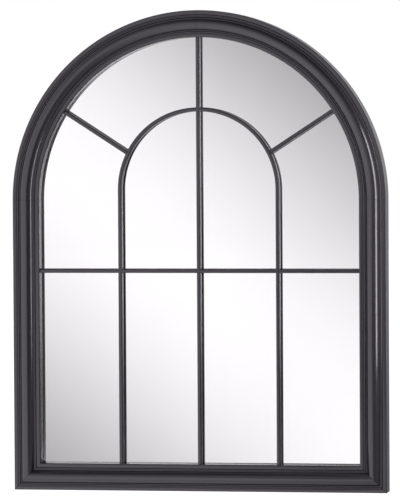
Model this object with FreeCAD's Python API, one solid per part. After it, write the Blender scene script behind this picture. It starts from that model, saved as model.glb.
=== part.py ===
import FreeCAD, Part
import math
import os

from FreeCAD import Vector

# Arched window mirror, in millimetres.
# X runs to the viewer's right, the mirror faces -Y, the wall is the plane y = 0, and Z is up.
# The origin lies on the wall, midway between the axes of the two hanging rings.

# Overall size
frame_width = 700.0
frame_height = 890.0
hang_height = 600.0
wall_gap = 6.0

# Moulding section, from the outer edge to the sight edge
flat_width = 6.5
quirk_width = 1.6
bead_width = 3.2
torus_width = 24.2
frame_depth = 40.0
quirk_depth = 1.6
bead_rise = 1.5
torus_rise = 6.0
outer_round = 0.8
sight_round = 1.8
rebate_width = 10.0
glass_recess = 22.5

# Dowels in the frame joints
dowel_diameter = 8.0
dowel_length = 30.0
dowel_setback = 20.0
rear_dowel_depth = 11.0
front_dowel_depth = 28.0
dowel_fit = 0.05
dowel_end_room = 1.0

# Glazing bars
bar_width = 7.6
bar_depth = 13.0
bar_standoff = 3.7
bar_round = 2.4
leg_bar_offset = 148.0
cross_bar_height = 408.0
inner_arch_raise = 19.0
fan_angle = 33.0

# Steel pins in the bar ends
pin_diameter = 1.6
pin_length = 20.0
pin_bite = 6.0
pin_fit = 0.05
pin_end_room = 0.5

# Glass, silvering and back
glass_thickness = 3.0
glass_edge_gap = 1.5
silver_thickness = 0.2
silver_margin = 1.0
board_thickness = 3.0
board_edge_gap = 2.0
block_length = 40.0
block_offset = 130.0

# Steel tabs that hold the board
tab_length = 15.0
tab_width = 6.0
tab_thickness = 0.6
tab_bite = 7.0
tab_point = 3.0
tab_fit = 0.05
tabs_per_stile = 3
tabs_per_arch = 4
tabs_on_rail = 4

# Hanger straps, rings and screws
strap_width = 14.0
strap_length = 46.0
strap_thickness = 1.2
eye_lift = 0.3
eye_seam = 0.6
ring_wire = 2.6
ring_inner_width = 20.0
ring_drop = 15.0
ring_corner = 3.5
ring_fit = 0.08
screw_foot_margin = 8.0
screw_spacing = 14.0
screw_diameter = 3.5
screw_length = 16.0
screw_point = 4.0
screw_head_diameter = 7.0
screw_head_height = 2.2
screw_head_rim = 0.5
screw_hole_room = 0.25
screw_fit = 0.05
screw_end_room = 0.5

# Rubber pads on the wall side
bumper_diameter = 16.0
bumper_round = 1.0
lower_bumper_inset = 60.0
upper_bumper_angle = 55.0

# Places that follow from the sizes above
half_width = frame_width / 2
bottom_z = -hang_height
arch_z = bottom_z + frame_height - half_width
inner_arch_z = arch_z + inner_arch_raise
cross_bar_z = bottom_z + cross_bar_height
face_width = 2 * (flat_width + 2 * quirk_width + bead_width) + torus_width
back_width = face_width - rebate_width
sight_half = half_width - face_width
sill_z = bottom_z + face_width
back_y = -wall_gap
rebate_depth = frame_depth - glass_recess
glass_front_y = back_y - rebate_depth
silver_front_y = glass_front_y + glass_thickness
board_front_y = silver_front_y + silver_thickness
board_back_y = board_front_y + board_thickness
bar_back_y = glass_front_y - bar_standoff
bar_mid_y = bar_back_y - bar_depth / 2
glass_inset = back_width + glass_edge_gap
eye_inner = ring_wire / 2 + ring_fit
eye_outer = eye_inner + strap_thickness
eye_y = back_y + eye_lift + eye_outer
strap_face_y = back_y + strap_thickness
lower_screw_drop = strap_length - screw_foot_margin
upper_screw_drop = lower_screw_drop - screw_spacing

# Each strap stands upright on the middle of the frame's back, where the arch may already lean in
back_middle = half_width - back_width / 2
strap_middle_rise = max(0.0, -strap_length / 2 - arch_z)
hanger_x = math.sqrt(back_middle ** 2 - strap_middle_rise ** 2)

SIDES = (-1, 1)
X_AXIS = Vector(1, 0, 0)
Y_AXIS = Vector(0, 1, 0)
Z_AXIS = Vector(0, 0, 1)
ARC_SLACK = 1 - math.sqrt(0.5)


# Small helpers

def mirrored(shape):
    """The same piece on the other side of the middle plane."""
    return shape.mirror(Vector(0, 0, 0), X_AXIS)


def line(start, end):
    return Part.LineSegment(start, end).toShape()


def arc(start, middle, end):
    return Part.Arc(start, middle, end).toShape()


def chain(points):
    """Straight edges from each point to the next."""
    return [line(start, end) for start, end in zip(points, points[1:])]


def face_from(edges):
    return Part.Face(Part.Wire(edges))


def rod(middle, direction, diameter, length):
    """A round rod centred on a point."""
    start = middle - direction * (length / 2)
    return Part.makeCylinder(diameter / 2, length, start, direction)


def cut_by(shape, tools):
    """The shape with every tool that reaches it taken away."""
    near = [tool for tool in tools if tool.BoundBox.intersect(shape.BoundBox)]
    return shape.cut(near) if near else shape


def ray(degrees):
    """Unit direction in the plane of the glass, measured from +X towards +Z."""
    angle = math.radians(degrees)
    return Vector(math.cos(angle), 0, math.sin(angle))


def arched_plate(inset, front_y, thickness):
    """A plate with the frame's outline drawn in by an inset all round."""
    half = half_width - inset
    foot = bottom_z + inset
    left = Vector(-half, front_y, arch_z)
    right = Vector(half, front_y, arch_z)
    crown = Vector(0, front_y, arch_z + half)
    edges = chain([left, Vector(-half, front_y, foot), Vector(half, front_y, foot), right])
    edges.append(arc(right, crown, left))
    return face_from(edges).extrude(Y_AXIS * thickness)


# Frame mouldings

def moulding_face(place):
    """Moulding section with a back rebate: flat, quirk, bead, quirk, torus and the same again."""
    groove = frame_depth - quirk_depth
    bead_start = flat_width + quirk_width
    bead_end = bead_start + bead_width
    torus_start = bead_end + quirk_width
    torus_end = torus_start + torus_width
    inner_bead_start = torus_end + quirk_width
    inner_bead_end = inner_bead_start + bead_width
    inner_flat = inner_bead_end + quirk_width
    outer_side = frame_depth - outer_round
    sight_side = frame_depth - sight_round
    sight_flat = face_width - sight_round
    outer_slack = outer_round * ARC_SLACK
    sight_slack = sight_round * ARC_SLACK

    def run(*points):
        return chain([place(*point) for point in points])

    def crowned(start, end, rise):
        return [arc(place(start, groove), place((start + end) / 2, groove + rise), place(end, groove))]

    def rounded(start, middle, end):
        return [arc(place(*start), place(*middle), place(*end))]

    edges = run((0, 0), (0, outer_side))
    edges += rounded((0, outer_side), (outer_slack, frame_depth - outer_slack), (outer_round, frame_depth))
    edges += run((outer_round, frame_depth), (flat_width, frame_depth))
    edges += run((flat_width, frame_depth), (flat_width, groove), (bead_start, groove))
    edges += crowned(bead_start, bead_end, bead_rise)
    edges += run((bead_end, groove), (torus_start, groove))
    edges += crowned(torus_start, torus_end, quirk_depth + torus_rise)
    edges += run((torus_end, groove), (inner_bead_start, groove))
    edges += crowned(inner_bead_start, inner_bead_end, bead_rise)
    edges += run((inner_bead_end, groove), (inner_flat, groove), (inner_flat, frame_depth))
    edges += run((inner_flat, frame_depth), (sight_flat, frame_depth))
    edges += rounded(
        (sight_flat, frame_depth),
        (face_width - sight_slack, frame_depth - sight_slack),
        (face_width, sight_side))
    edges += run((face_width, sight_side), (face_width, rebate_depth), (back_width, rebate_depth))
    edges += run((back_width, rebate_depth), (back_width, 0), (0, 0))
    return face_from(edges)


def springing_section():
    """The moulding section at the left springing, shared by the stile and the arch."""
    return moulding_face(lambda u, v: Vector(u - half_width, back_y - v, arch_z))


def mitre_wedge(below):
    """Prism below or above the mitre plane of the lower left corner."""
    reach = 2 * face_width
    start_y = back_y + wall_gap
    low = Vector(-half_width - reach, start_y, bottom_z - reach)
    high = Vector(-half_width + reach, start_y, bottom_z + reach)
    corner = Vector(high.x, start_y, low.z) if below else Vector(low.x, start_y, high.z)
    depth = wall_gap + 2 * frame_depth
    return face_from(chain([low, high, corner, low])).extrude(Y_AXIS * -depth)


def blank_left_stile():
    length = arch_z - bottom_z
    return springing_section().extrude(Z_AXIS * -length).cut(mitre_wedge(True))


def blank_left_arch():
    return springing_section().revolve(Vector(0, 0, arch_z), Y_AXIS, 90)


def blank_bottom_rail():
    section = moulding_face(lambda u, v: Vector(-half_width, back_y - v, bottom_z + u))
    wedge = mitre_wedge(False)
    return section.extrude(X_AXIS * frame_width).cut([wedge, mirrored(wedge)])


# Dowels: every joint of the frame has one behind the other, at the same setback from the outer edge

def dowel_seats():
    """Middle and direction of every dowel, by joint."""
    across = half_width - dowel_setback
    foot = bottom_z + dowel_setback
    seats = {"springing_dowels": [], "crown_dowels": [], "mitre_dowels": []}
    for depth in (rear_dowel_depth, front_dowel_depth):
        y = back_y - depth
        seats["crown_dowels"].append((Vector(0, y, arch_z + across), X_AXIS))
        for side in SIDES:
            square_to_mitre = Vector(side, 0, 1).normalize()
            seats["springing_dowels"].append((Vector(side * across, y, arch_z), Z_AXIS))
            seats["mitre_dowels"].append((Vector(side * across, y, foot), square_to_mitre))
    return seats


def dowel_hole(middle, along):
    return rod(middle, along, dowel_diameter + 2 * dowel_fit, dowel_length + 2 * dowel_end_room)


# Glazing bars

def bar_face(origin, across):
    """Bar section with a flat back and a rounded front; its width lies along one direction."""
    half = bar_width / 2
    flat = half - bar_round
    shoulder = bar_depth - bar_round
    slack = bar_round * ARC_SLACK

    def place(a, b):
        return origin + across * a - Y_AXIS * b

    edges = chain([place(-half, shoulder), place(-half, 0), place(half, 0), place(half, shoulder)])
    edges.append(arc(place(half, shoulder), place(half - slack, bar_depth - slack), place(flat, bar_depth)))
    edges.append(line(place(flat, bar_depth), place(-flat, bar_depth)))
    edges.append(arc(place(-flat, bar_depth), place(slack - half, bar_depth - slack), place(-half, shoulder)))
    return face_from(edges)


def straight_bar(x, z, along, length):
    """A bar that starts in front of a point of the glass, clear of it, and runs level with it."""
    across = along.cross(Y_AXIS)
    return bar_face(Vector(x, bar_back_y, z), across).extrude(along * length)


def halve(front_bar, back_bar):
    """Cross-halving: the first bar keeps the front of the crossing and the second the back."""
    lap = front_bar.common(back_bar)
    box = lap.BoundBox
    behind = Part.makeBox(
        box.XLength, box.YMax - bar_mid_y, box.ZLength, Vector(box.XMin, bar_mid_y, box.ZMin))
    return front_bar.cut(lap.common(behind)), back_bar.cut(lap.cut(behind))


def bars():
    """All glazing bars, trimmed to the sight edge and fitted to each other."""
    opening = arched_plate(face_width, bar_back_y - bar_depth, bar_depth)
    centre = straight_bar(0, sill_z, Z_AXIS, frame_height).common(opening)
    cross = straight_bar(-half_width, cross_bar_z, X_AXIS, frame_width).common(opening)
    left_leg = straight_bar(-leg_bar_offset, sill_z, Z_AXIS, inner_arch_z - sill_z)
    right_leg = mirrored(left_leg)
    arch_foot = bar_face(Vector(-leg_bar_offset, bar_back_y, inner_arch_z), X_AXIS)
    inner_arch = arch_foot.revolve(Vector(0, 0, inner_arch_z), Y_AXIS, 180)
    inner_round = Part.makeCylinder(
        leg_bar_offset + bar_width / 2, bar_depth, Vector(0, bar_back_y, inner_arch_z), Y_AXIS * -1)
    left_fan = straight_bar(0, arch_z, ray(180 - fan_angle), half_width).common(opening).cut(inner_round)

    centre, cross = halve(centre, cross)
    left_leg, cross = halve(left_leg, cross)
    right_leg, cross = halve(right_leg, cross)
    inner_arch, centre = halve(inner_arch, centre)
    return {
        "centre_bar": centre,
        "cross_bar": cross,
        "left_leg_bar": left_leg,
        "right_leg_bar": right_leg,
        "inner_arch_bar": inner_arch,
        "left_fan_bar": left_fan,
        "right_fan_bar": mirrored(left_fan),
    }


def fan_root():
    """Distance from the centre of the main arch, along a fan bar, to the outside of the inner arch."""
    angle = math.radians(fan_angle)
    radius = leg_bar_offset + bar_width / 2
    along = inner_arch_raise * math.sin(angle)
    aside = inner_arch_raise * math.cos(angle)
    return along + math.sqrt(radius ** 2 - aside ** 2)


def pin_seats():
    """Seam point and direction of each pin, which points out of the bar that ends there."""
    arch_centre = Vector(0, bar_mid_y, arch_z)
    seats = [
        (Vector(0, bar_mid_y, sill_z), Z_AXIS * -1),
        (Vector(0, bar_mid_y, arch_z + sight_half), Z_AXIS),
    ]
    for side in SIDES:
        leg_x = side * leg_bar_offset
        along = ray(90 - side * (90 - fan_angle))
        seats += [
            (Vector(side * sight_half, bar_mid_y, cross_bar_z), X_AXIS * side),
            (Vector(leg_x, bar_mid_y, sill_z), Z_AXIS * -1),
            (Vector(leg_x, bar_mid_y, inner_arch_z), Z_AXIS),
            (arch_centre + along * sight_half, along),
            (arch_centre + along * fan_root(), along * -1),
        ]
    return seats


def pin(seam, outward, room, end_room):
    """A pin that enters the next piece by its bite, with room round it and at its ends for the hole."""
    middle = seam + outward * (pin_bite - pin_length / 2)
    return rod(middle, outward, pin_diameter + 2 * room, pin_length + 2 * end_room)


# Behind the glass

def setting_blocks():
    """Rubber blocks that carry the lower edge of the glass in the rebate."""
    depth = glass_thickness + silver_thickness
    blocks = []
    for side in SIDES:
        corner = Vector(side * block_offset - block_length / 2, glass_front_y, bottom_z + back_width)
        blocks.append(Part.makeBox(block_length, depth, glass_edge_gap, corner))
    return blocks


def tab_stations():
    """Point on the rebate wall and inward direction of each tab."""
    wall = half_width - back_width
    foot = bottom_z + back_width
    stations = []
    for side in SIDES:
        for i in range(tabs_per_stile):
            z = foot + (arch_z - foot) * (i + 0.5) / tabs_per_stile
            stations.append((Vector(side * wall, board_back_y, z), X_AXIS * -side))
        for i in range(tabs_per_arch):
            outward = ray(90 + side * 90 * (i + 0.5) / tabs_per_arch)
            stations.append((Vector(0, board_back_y, arch_z) + outward * wall, outward * -1))
    for i in range(tabs_on_rail):
        x = wall * (2 * (i + 0.5) / tabs_on_rail - 1)
        stations.append((Vector(x, board_back_y, foot), Z_AXIS))
    return stations


def tab(point, inward, room):
    """One pointed tab lying on the board, with room all round for its slot."""
    width = inward.cross(Y_AXIS) * (tab_width / 2 + room)
    base = point - Y_AXIS * room
    tip = base - inward * (tab_bite + room)
    shoulder = tip + inward * tab_point
    end = base + inward * (tab_length - tab_bite + room)
    outline = chain([tip, shoulder + width, end + width, end - width, shoulder - width, tip])
    return face_from(outline).extrude(Y_AXIS * (tab_thickness + 2 * room))


# Hangers on the back of the frame

def screw_points():
    """Where the hanger screws pass through the outer faces of the straps."""
    drops = (upper_screw_drop, lower_screw_drop)
    return [Vector(side * hanger_x, strap_face_y, -drop) for side in SIDES for drop in drops]


def left_hanger_strap():
    """Flat strap with a round foot, two screw holes and an eye rolled at its upper end."""
    half = strap_width / 2
    left = -hanger_x - half
    right = -hanger_x + half
    foot = half - strap_length
    outline = chain([Vector(left, back_y, foot), Vector(left, back_y, 0),
                     Vector(right, back_y, 0), Vector(right, back_y, foot)])
    lowest = Vector(-hanger_x, back_y, -strap_length)
    outline.append(arc(Vector(right, back_y, foot), lowest, Vector(left, back_y, foot)))
    plate = face_from(outline).extrude(Y_AXIS * strap_thickness)

    eye_start = Vector(left, eye_y, 0)
    roll = Part.makeCylinder(eye_outer, strap_width, eye_start, X_AXIS)
    bore = Part.makeCylinder(eye_inner, strap_width, eye_start, X_AXIS)
    seam = Part.makeBox(strap_width, eye_seam, eye_outer, Vector(left, eye_y - eye_seam, -eye_outer))
    hole = screw_diameter + 2 * screw_hole_room
    holes = [rod(point, Y_AXIS, hole, 4 * strap_thickness) for point in screw_points()]
    return cut_by(plate.fuse(roll.cut(seam)), holes + [bore]).removeSplitter()


def left_ring():
    """D-shaped wire ring, hanging down from the eye."""
    half = (ring_inner_width + ring_wire) / 2
    low = ring_drop + ring_wire / 2
    bow_z = half - low
    flat = half - ring_corner
    slack = ring_corner * ARC_SLACK

    def at(x, z):
        return Vector(x - hanger_x, eye_y, z)

    path = Part.Wire([
        line(at(0, 0), at(flat, 0)),
        arc(at(flat, 0), at(half - slack, -slack), at(half, -ring_corner)),
        line(at(half, -ring_corner), at(half, bow_z)),
        arc(at(half, bow_z), at(0, -low), at(-half, bow_z)),
        line(at(-half, bow_z), at(-half, -ring_corner)),
        arc(at(-half, -ring_corner), at(slack - half, -slack), at(-flat, 0)),
        line(at(-flat, 0), at(0, 0)),
    ])
    section = Part.Wire(Part.makeCircle(ring_wire / 2, at(0, 0), X_AXIS))
    return path.makePipeShell([section], True, False)


def hanger_screw(point):
    """Round-head screw from the face of a strap into the frame."""
    head = screw_head_diameter / 2
    shank = screw_diameter / 2
    dome = screw_head_height - screw_head_rim
    dome_radius = (head ** 2 + dome ** 2) / (2 * dome)
    half_lean = math.asin(head / dome_radius) / 2
    taper = screw_point - screw_length

    def at(r, out):
        return point + X_AXIS * r + Y_AXIS * out

    edges = chain([at(0, screw_head_height), at(0, -screw_length), at(shank, taper),
                   at(shank, 0), at(head, 0), at(head, screw_head_rim)])
    shoulder_drop = dome_radius * (1 - math.cos(half_lean))
    shoulder = at(dome_radius * math.sin(half_lean), screw_head_height - shoulder_drop)
    edges.append(arc(at(head, screw_head_rim), shoulder, at(0, screw_head_height)))
    return face_from(edges).revolve(point, Y_AXIS, 360)


def screw_pilot(point):
    depth = screw_length - strap_thickness + screw_end_room
    mouth = Vector(point.x, back_y, point.z)
    return Part.makeCylinder(screw_diameter / 2 + screw_fit, depth, mouth, Y_AXIS * -1)


def wall_bumpers():
    """Round rubber pads whose outer faces lie on the wall plane."""
    low_x = half_width - lower_bumper_inset
    low_z = bottom_z + back_width / 2
    upper = Vector(0, 0, arch_z) + ray(upper_bumper_angle) * back_middle
    pads = []
    for x, z in ((-low_x, low_z), (low_x, low_z), (-upper.x, upper.z), (upper.x, upper.z)):
        pad = Part.makeCylinder(bumper_diameter / 2, wall_gap, Vector(x, back_y, z), Y_AXIS)
        rim = [edge for edge in pad.Edges if edge.BoundBox.YMin > back_y + wall_gap / 2]
        pads.append(pad.makeFillet(bumper_round, rim))
    return pads


# The whole mirror

def build():
    seats = dowel_seats()
    pins = pin_seats()
    stations = tab_stations()
    screws = screw_points()
    dowel_holes = [dowel_hole(*seat) for joint in seats.values() for seat in joint]
    pin_holes = [pin(*seat, pin_fit, pin_end_room) for seat in pins]
    tab_slots = [tab(*station, tab_fit) for station in stations]
    frame_cuts = dowel_holes + pin_holes + tab_slots + [screw_pilot(point) for point in screws]

    stile = blank_left_stile()
    arch = blank_left_arch()
    strap = left_hanger_strap()
    ring = left_ring()
    nodes = {
        "left_stile": cut_by(stile, frame_cuts),
        "right_stile": cut_by(mirrored(stile), frame_cuts),
        "bottom_rail": cut_by(blank_bottom_rail(), frame_cuts),
        "left_arch": cut_by(arch, frame_cuts),
        "right_arch": cut_by(mirrored(arch), frame_cuts),
        "bar_pins": Part.makeCompound([pin(*seat, 0.0, 0.0) for seat in pins]),
        "mirror_glass": arched_plate(glass_inset, glass_front_y, glass_thickness),
        "silver_coat": arched_plate(glass_inset + silver_margin, silver_front_y, silver_thickness),
        "setting_blocks": Part.makeCompound(setting_blocks()),
        "backing_board": arched_plate(back_width + board_edge_gap, board_front_y, board_thickness),
        "retaining_tabs": Part.makeCompound([tab(*station, 0.0) for station in stations]),
        "left_hanger_strap": strap,
        "right_hanger_strap": mirrored(strap),
        "left_ring": ring,
        "right_ring": mirrored(ring),
        "hanger_screws": Part.makeCompound([hanger_screw(point) for point in screws]),
        "wall_bumpers": Part.makeCompound(wall_bumpers()),
    }
    for name, joint in seats.items():
        nodes[name] = Part.makeCompound([rod(*seat, dowel_diameter, dowel_length) for seat in joint])
    for name, bar in bars().items():
        nodes[name] = cut_by(bar, pin_holes)
    return nodes


os.makedirs("parts", exist_ok=True)
for name, shape in build().items():
    shape.exportStep("parts/" + name + ".step")
    print(name, len(shape.Solids), "solids", round(shape.Volume), "mm3", "valid", shape.isValid())
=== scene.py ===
import math

import bmesh
import bpy
import numpy as np
from mathutils import Matrix, Vector


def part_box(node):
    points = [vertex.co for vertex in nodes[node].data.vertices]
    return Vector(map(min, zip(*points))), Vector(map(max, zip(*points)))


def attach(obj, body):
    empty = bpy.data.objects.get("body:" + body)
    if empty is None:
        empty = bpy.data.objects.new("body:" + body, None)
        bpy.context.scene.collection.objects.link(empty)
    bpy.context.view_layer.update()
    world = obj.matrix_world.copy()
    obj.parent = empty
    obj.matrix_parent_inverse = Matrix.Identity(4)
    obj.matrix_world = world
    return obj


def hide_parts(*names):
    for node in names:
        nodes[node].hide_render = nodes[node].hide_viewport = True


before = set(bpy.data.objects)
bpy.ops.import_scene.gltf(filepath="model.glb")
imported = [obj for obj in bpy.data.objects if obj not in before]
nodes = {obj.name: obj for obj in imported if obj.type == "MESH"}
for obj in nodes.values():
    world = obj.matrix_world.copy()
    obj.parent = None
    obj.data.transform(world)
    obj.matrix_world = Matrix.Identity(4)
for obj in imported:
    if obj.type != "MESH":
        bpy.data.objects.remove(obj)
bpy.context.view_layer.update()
scene = bpy.context.scene

# Places read off the CAD pieces, in metres
rail_low, rail_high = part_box("bottom_rail")
glass_low, glass_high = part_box("mirror_glass")
silver_low, silver_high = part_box("silver_coat")
board_low, board_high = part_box("backing_board")
inner_arch_low, inner_arch_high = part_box("inner_arch_bar")
ring_low, ring_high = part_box("right_ring")
half_width = rail_high.x
bottom_z = rail_low.z
arch_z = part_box("left_arch")[0].z
back_y = rail_high.y
inner_arch_z = inner_arch_low.z
inner_arch_radius = inner_arch_high.x
bar_back_y = inner_arch_high.y
hanger_x = (ring_low.x + ring_high.x) / 2

# Moulding section, from the outer edge to the sight edge
FLAT = 0.0065
QUIRK = 0.0016
BEAD = 0.0032
TORUS = 0.0242
FRAME_DEPTH = 0.040
QUIRK_DEPTH = 0.0016
BEAD_RISE = 0.0015
TORUS_RISE = 0.0060
OUTER_ROUND = 0.0008
SIGHT_ROUND = 0.0018
REBATE_WIDTH = 0.010
REBATE_DEPTH = back_y - glass_low.y
FACE = 2 * (FLAT + 2 * QUIRK + BEAD) + TORUS
JOINT_EASE = 0.0003

# Glazing bar section, and the notch where the inner arch laps the centre bar
BAR_WIDTH = 0.0076
BAR_DEPTH = 0.013
BAR_ROUND = 0.0024
BAR_JOINT_EASE = 0.0001
NOTCH_HEIGHT = 4 * BAR_WIDTH

# How finely the sections are drawn and swept
CROWN_STEPS = 90
CORNER_STEPS = 12
SECTION_STEP = 0.0001
SECTION_GAP = 0.006
SECTION_TURN = math.radians(8)
STRAIGHT_RINGS = 12
ARCH_RINGS = 92
INNER_ARCH_RINGS = 158
SMOOTH_ANGLE = math.radians(40)

# How paint fills corners, rubs off sharp bends and lies dull in hollows and on outer walls, where it also
# gets painted shade
PAINT_SOFTENING = 0.00022
RUBBED_BEND = (600.0, 2400.0)
HOLLOW_BEND = (300.0, 1800.0)
WALL_LEAN = (0.93, 0.99)
OUTER_WALL_DULLING_AND_PAINTED_SHADE = 0.7


# Node helpers

def node(tree, kind, inputs=None, **settings):
    """A new node; its inputs are values or the sockets of other nodes."""
    made = tree.nodes.new(kind)
    for name, value in settings.items():
        setattr(made, name, value)
    for key, value in (inputs or {}).items():
        if isinstance(value, bpy.types.NodeSocket):
            tree.links.new(value, made.inputs[key])
        else:
            made.inputs[key].default_value = value
    return made


def maths(tree, operation, *values, clamp=False):
    made = node(tree, "ShaderNodeMath", dict(enumerate(values)), operation=operation, use_clamp=clamp)
    return made.outputs[0]


def times(tree, a, b):
    return maths(tree, "MULTIPLY", a, b)


def plus(tree, value, extra, weight=1.0):
    """A value with a share of another added."""
    return maths(tree, "MULTIPLY_ADD", extra, weight, value)


def less(tree, value, taken):
    return maths(tree, "SUBTRACT", value, taken)


def larger(tree, a, b):
    return maths(tree, "MAXIMUM", a, b)


def hypotenuse(tree, a, b):
    return maths(tree, "SQRT", plus(tree, times(tree, a, a), b, b))


def vector_maths(tree, operation, *values):
    made = node(tree, "ShaderNodeVectorMath", dict(enumerate(values)), operation=operation)
    return made.outputs[0]


def scaled(tree, vector, factor):
    made = node(tree, "ShaderNodeVectorMath", {0: vector, "Scale": factor}, operation="SCALE")
    return made.outputs[0]


def parts_of(tree, vector):
    return node(tree, "ShaderNodeSeparateXYZ", {0: vector}).outputs


def joined(tree, x, y, z):
    return node(tree, "ShaderNodeCombineXYZ", {0: x, 1: y, 2: z}).outputs[0]


def ramp(tree, value, low, high, start=0.0, end=1.0):
    """A value carried smoothly from one range to another and held inside it."""
    made = node(tree, "ShaderNodeMapRange", {0: value, 1: low, 2: high, 3: start, 4: end},
                interpolation_type="SMOOTHSTEP")
    return made.outputs[0]


def blend(tree, mask, low, high):
    """Two colours mixed by a mask."""
    return node(tree, "ShaderNodeMix", {0: mask, 6: low, 7: high}, data_type="RGBA").outputs[2]


def noise(tree, vector, scale, detail=3.0, roughness=0.5):
    """A noise pattern with one scale, or with its own scale along each axis."""
    if isinstance(scale, tuple):
        vector = vector_maths(tree, "MULTIPLY", vector, scale)
        scale = 1.0
    made = node(tree, "ShaderNodeTexNoise",
                {"Vector": vector, "Scale": scale, "Detail": detail, "Roughness": roughness})
    return made.outputs[0]


def object_place(tree):
    return node(tree, "ShaderNodeTexCoord").outputs["Object"]


def attribute(tree, name):
    return node(tree, "ShaderNodeAttribute", attribute_name=name).outputs


def group(name, kind, inputs, outputs):
    """A new node group with named sockets, and its two ends as seen from inside."""
    tree = bpy.data.node_groups.new(name, kind)
    for way, rows in (("INPUT", inputs), ("OUTPUT", outputs)):
        for socket_name, socket_kind in rows:
            tree.interface.new_socket(name=socket_name, in_out=way, socket_type="NodeSocket" + socket_kind)
    start = tree.nodes.new("NodeGroupInput")
    end = tree.nodes.new("NodeGroupOutput")
    return tree, start.outputs, end.inputs


def material(name):
    """A new material, with its tree and its shader."""
    made = bpy.data.materials.new(name)
    made.use_nodes = True
    return made, made.node_tree, made.node_tree.nodes["Principled BSDF"]


def dress(tree, shader, tone, roughness, height=None, relief=None):
    """Colour, roughness and a relief of some strength and depth led to a shader."""
    tree.links.new(tone, shader.inputs["Base Color"])
    tree.links.new(roughness, shader.inputs["Roughness"])
    if relief:
        strength, depth = relief
        bump = node(tree, "ShaderNodeBump", {"Height": height, "Strength": strength, "Distance": depth})
        tree.links.new(bump.outputs[0], shader.inputs["Normal"])


# The range that most of a noise pattern fills
NOISE_RANGE = (0.3, 0.7)


# Charcoal paint on the mouldings and bars, with patterns scaled along, across and through the wood

PAINT_TONE = (0.0315, 0.0275, 0.0365, 1.0)
PAINT_RUBBED = (0.075, 0.069, 0.078, 1.0)
BARE_BACK = (0.058, 0.049, 0.045, 1.0)
BARE_BACK_DEPTH = (0.0001, 0.0007)
PAINT_SHEEN = 0.95
PAINT_SHEEN_TINT = (0.97, 0.92, 1.0, 1.0)
PAINT_ROUGHNESS = (0.17, 0.25)
PAINT_RELIEF = (0.35, 0.00006)
BRUSH_DRAG = (9.0, 900.0, 900.0)
DRAG_SHADES = (0.90, 1.10)
DRAG_SHEEN_RANGE = (0.25, 0.75)
DRAG_HEIGHT = 0.55
WOOD_PORES = (26.0, 1500.0, 1500.0)
PORE_LINES = (0.62, 0.72)
PORE_SHADE = -0.10
PORE_HEIGHT = -0.45
PAINT_CLOUD = (5.0, 28.0, 28.0)
CLOUD_SHADES = (-0.06, 0.06)
WORN_CLOUD = (0.35, 0.75)
PAINT_NIBS = 900.0
NIB_TIPS = (0.70, 0.80)
NIB_HEIGHT = 0.5
# Painted shade: the paint is darkened in hollows and on outer walls
PAINTED_HOLLOW_SHADE = -0.35
HOLLOW_ROUGHNESS = 0.30
BACK_STREAKS = (0.35, 0.65)
BACK_COVER = (0.35, 1.0)
BACK_ROUGHNESS = 0.30
FAN_LEAN = math.radians(33)


def paint_film():
    """Brushed satin paint over close-grained wood, on a vector of along, across and depth."""
    tree, given, out = group(
        "paint film", "ShaderNodeTree",
        [("Grain", "Vector"), ("Tone", "Color"), ("Rubbed Tone", "Color"), ("Back Tone", "Color"),
         ("Rub", "Float"), ("Hollow", "Float")],
        [("Color", "Color"), ("Roughness", "Float"), ("Height", "Float")])
    grain = given["Grain"]
    hollow = given["Hollow"]
    drag = noise(tree, grain, BRUSH_DRAG, 4.0, 0.6)
    pores = ramp(tree, noise(tree, grain, WOOD_PORES, 2.0), *PORE_LINES)
    cloud = noise(tree, grain, PAINT_CLOUD, 2.0)
    nibs = ramp(tree, noise(tree, grain, PAINT_NIBS, 1.0), *NIB_TIPS)
    back = ramp(tree, parts_of(tree, grain)[2], *BARE_BACK_DEPTH, 1.0, 0.0)

    shade = ramp(tree, drag, *NOISE_RANGE, *DRAG_SHADES)
    shade = plus(tree, shade, ramp(tree, cloud, *NOISE_RANGE, *CLOUD_SHADES))
    shade = plus(tree, shade, pores, PORE_SHADE)
    # Painted shade darkens the hollows and outer walls
    shade = plus(tree, shade, hollow, PAINTED_HOLLOW_SHADE)
    worn = maths(tree, "MULTIPLY", given["Rub"], ramp(tree, cloud, *WORN_CLOUD), clamp=True)
    tone = blend(tree, worn, given["Tone"], given["Rubbed Tone"])
    bare = times(tree, back, ramp(tree, drag, *BACK_STREAKS, *BACK_COVER))
    tone = blend(tree, bare, tone, given["Back Tone"])
    tree.links.new(scaled(tree, tone, shade), out["Color"])

    rough = ramp(tree, drag, *DRAG_SHEEN_RANGE, *PAINT_ROUGHNESS)
    rough = plus(tree, rough, back, BACK_ROUGHNESS)
    rough = plus(tree, rough, hollow, HOLLOW_ROUGHNESS)
    tree.links.new(rough, out["Roughness"])

    height = plus(tree, times(tree, drag, DRAG_HEIGHT), nibs, NIB_HEIGHT)
    height = plus(tree, height, pores, PORE_HEIGHT)
    tree.links.new(height, out["Height"])
    return tree


def swept_grain(tree):
    """Grain that a swept piece carries with it."""
    return attribute(tree, "grain")["Vector"]


def bar_grain(lean, side):
    """Grain along a straight bar that rises at a lean, to the left (-1) or to the right (1)."""
    def grain(tree):
        x, y, z = parts_of(tree, object_place(tree))
        outwards = times(tree, x, side)
        along = plus(tree, times(tree, outwards, math.cos(lean)), z, math.sin(lean))
        across = plus(tree, times(tree, z, math.cos(lean)), outwards, -math.sin(lean))
        return joined(tree, along, across, less(tree, back_y, y))
    return grain


def round_grain(tree):
    """Grain along the inner arch."""
    x, y, z = parts_of(tree, object_place(tree))
    height = less(tree, z, inner_arch_z)
    walked = times(tree, maths(tree, "ARCTAN2", height, x), inner_arch_radius - BAR_WIDTH / 2)
    return joined(tree, walked, hypotenuse(tree, x, height), less(tree, back_y, y))


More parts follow.
